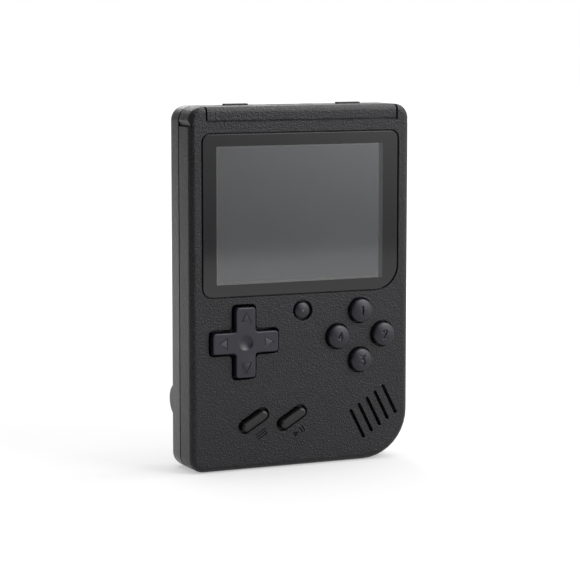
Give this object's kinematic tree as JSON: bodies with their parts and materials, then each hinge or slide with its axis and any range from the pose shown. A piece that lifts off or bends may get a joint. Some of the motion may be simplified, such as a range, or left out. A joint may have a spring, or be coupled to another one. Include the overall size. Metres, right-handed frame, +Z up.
{
  "type": "handheld game console",
  "caption": "Upright handheld game console with a large screen, a direction pad, round action buttons, slanted menu buttons, speaker slots and a sliding battery door.",
  "frame": {"origin": "middle of the flat lower edge that the console stands on", "axes": "+X to the console's right as its screen is looked at, -Y out of the screen, +Z up"},
  "size_m": [0.0828, 0.0261, 0.1256],
  "materials": {
    "shell": "fine grain",
    "button": "satin",
    "knob": "satin",
    "lens": "gloss",
    "display": "gloss",
    "tray": "matte",
    "tape": "matte",
    "foam": "matte",
    "ribbon": "satin",
    "membrane": "matte",
    "steel": "bright",
    "dark_steel": "blackened",
    "board": "satin",
    "carbon": "matte",
    "chip": "matte",
    "capacitor": "satin",
    "jack": "satin",
    "cone": "matte",
    "wire": "satin",
    "battery": "satin",
    "gold": "bright",
    "white_plastic": "matte"
  },
  "bodies": {
    "case": {"front_shell": "shell", "rear_shell": "shell", "shell_screws": "dark_steel", "screen_lens": "lens", "lens_tape": "tape", "lcd_panel": "display", "lcd_backlight": "tray", "lcd_ribbon": "ribbon", "lcd_foam_pads": "foam", "pad_membrane": "membrane", "action_membrane": "membrane", "menu_membrane": "membrane", "reset_membrane": "membrane", "power_switch": "steel", "volume_slider": "steel", "main_board": "board", "contact_pads": "carbon", "chip_blob": "chip", "memory_chip": "chip", "amplifier_chip": "chip", "crystal": "steel", "capacitors": "capacitor", "board_screws": "steel", "charge_port_shell": "steel", "charge_port_tongue": "chip", "av_jack": "jack", "speaker_gasket": "foam", "speaker_basket": "steel", "speaker_cone": "cone", "speaker_magnet": "steel", "speaker_wires": "wire", "battery": "battery", "battery_terminals": "gold", "contact_block": "white_plastic", "battery_contacts": "gold"},
    "button_top": {"button_top": "button"},
    "button_right": {"button_right": "button"},
    "button_bottom": {"button_bottom": "button"},
    "button_left": {"button_left": "button"},
    "select_button": {"select_button": "button"},
    "start_button": {"start_button": "button"},
    "reset_button": {"reset_button": "button"},
    "pad_pivot": {"pad_pivot_ball": "steel"},
    "direction_pad": {"direction_pad": "button"},
    "power_knob": {"power_knob": "knob"},
    "volume_knob": {"volume_knob": "knob"},
    "battery_door": {"battery_door": "shell"}
  },
  "joints": [
    {"name": "button_top_press", "type": "slide", "parent": "case", "child": "button_top", "axis": [0, 1, 0], "range_m": [0, 0.0012], "stiffness_N_per_m": 400, "springref_m": -0.001, "deforming": ["action_membrane"]},
    {"name": "button_right_press", "type": "slide", "parent": "case", "child": "button_right", "axis": [0, 1, 0], "range_m": [0, 0.0012], "stiffness_N_per_m": 400, "springref_m": -0.001, "deforming": ["action_membrane"]},
    {"name": "button_bottom_press", "type": "slide", "parent": "case", "child": "button_bottom", "axis": [0, 1, 0], "range_m": [0, 0.0012], "stiffness_N_per_m": 400, "springref_m": -0.001, "deforming": ["action_membrane"]},
    {"name": "button_left_press", "type": "slide", "parent": "case", "child": "button_left", "axis": [0, 1, 0], "range_m": [0, 0.0012], "stiffness_N_per_m": 400, "springref_m": -0.001, "deforming": ["action_membrane"]},
    {"name": "select_button_press", "type": "slide", "parent": "case", "child": "select_button", "axis": [0, 1, 0], "range_m": [0, 0.001], "stiffness_N_per_m": 400, "springref_m": -0.001, "deforming": ["menu_membrane"]},
    {"name": "start_button_press", "type": "slide", "parent": "case", "child": "start_button", "axis": [0, 1, 0], "range_m": [0, 0.001], "stiffness_N_per_m": 400, "springref_m": -0.001, "deforming": ["menu_membrane"]},
    {"name": "reset_button_press", "type": "slide", "parent": "case", "child": "reset_button", "axis": [0, 1, 0], "range_m": [0, 0.0008], "stiffness_N_per_m": 400, "springref_m": -0.001, "deforming": ["reset_membrane"]},
    {"name": "pad_up_down", "type": "hinge", "parent": "case", "child": "pad_pivot", "pos_m": [-0.0218, -0.0039, 0.0445], "axis": [1, 0, 0], "range_deg": [-5, 5], "stiffness_Nm_per_rad": 0.03, "deforming": ["pad_membrane"]},
    {"name": "pad_left_right", "type": "hinge", "parent": "pad_pivot", "child": "direction_pad", "pos_m": [-0.0218, -0.0039, 0.0445], "axis": [0, 0, 1], "range_deg": [-5, 5], "stiffness_Nm_per_rad": 0.03, "deforming": ["pad_membrane"]},
    {"name": "power_slide", "type": "slide", "parent": "case", "child": "power_knob", "axis": [1, 0, 0], "range_m": [0, 0.003]},
    {"name": "volume_slide", "type": "slide", "parent": "case", "child": "volume_knob", "axis": [1, 0, 0], "range_m": [-0.0025, 0.0025]},
    {"name": "battery_door_slide", "type": "slide", "parent": "case", "child": "battery_door", "axis": [0, 0, -1], "range_m": [0, 0.047]}
  ]
}
